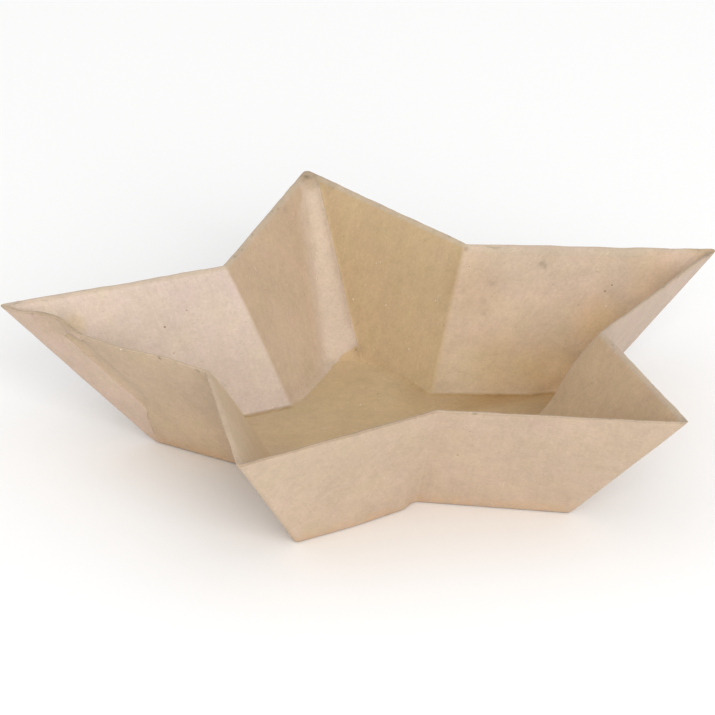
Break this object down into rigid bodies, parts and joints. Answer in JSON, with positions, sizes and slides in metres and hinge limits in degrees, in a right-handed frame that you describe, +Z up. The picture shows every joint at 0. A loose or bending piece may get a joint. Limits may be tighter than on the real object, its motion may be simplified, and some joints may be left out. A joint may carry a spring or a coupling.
{
  "type": "star-shaped tray",
  "caption": "Shallow star-shaped tray of pasted brown kraft paper, with sloping walls, an open top and a flat star-shaped base.",
  "frame": {"origin": "centre of the star on the underside of its floor, where the tray stands on the table", "axes": "+Z up out of the open top, +Y along the back point, +X across the two side points"},
  "size_m": [0.2544, 0.2379, 0.0508],
  "materials": {
    "kraft_paper": "matt, unglazed, fibrous"
  },
  "bodies": {
    "root": {"tray": "kraft_paper"}
  },
  "joints": []
}
